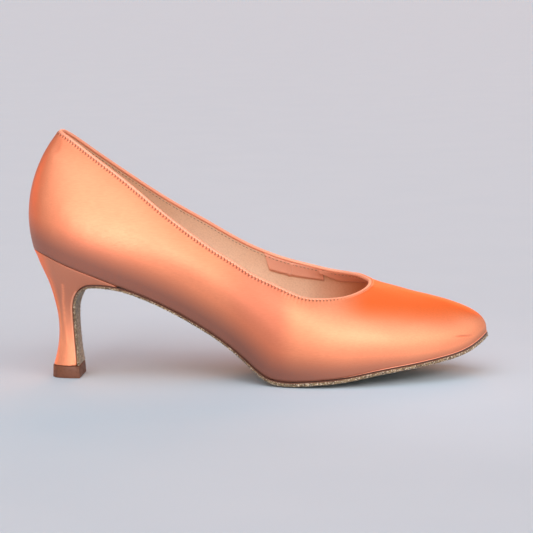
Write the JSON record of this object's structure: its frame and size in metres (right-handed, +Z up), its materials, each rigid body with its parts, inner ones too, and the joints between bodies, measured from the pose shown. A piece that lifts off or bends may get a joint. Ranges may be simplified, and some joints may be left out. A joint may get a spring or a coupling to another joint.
{
  "type": "satin dance shoe",
  "caption": "Satin court dance shoe for the right foot, with an almond toe, a rolled topline binding, a suede sole that runs down the breast, and a slim flared heel.",
  "frame": {"origin": "centre of the heel tip's lower face, on the floor", "axes": "+X to the toe, +Y to the inner side of the foot, +Z up"},
  "size_m": [0.236, 0.0793, 0.1283],
  "materials": {
    "satin": "coral satin with a soft sheen",
    "binding": "rolled satin binding, a little pinker",
    "lining": "matt beige lining",
    "suede": "brushed grey brown suede",
    "top_piece": "brown moulded top piece"
  },
  "bodies": {
    "root": {"upper": "satin", "topline_binding": "binding", "insole": "lining", "outsole": "suede", "heel": "satin", "heel_tip": "top_piece"}
  },
  "joints": []
}
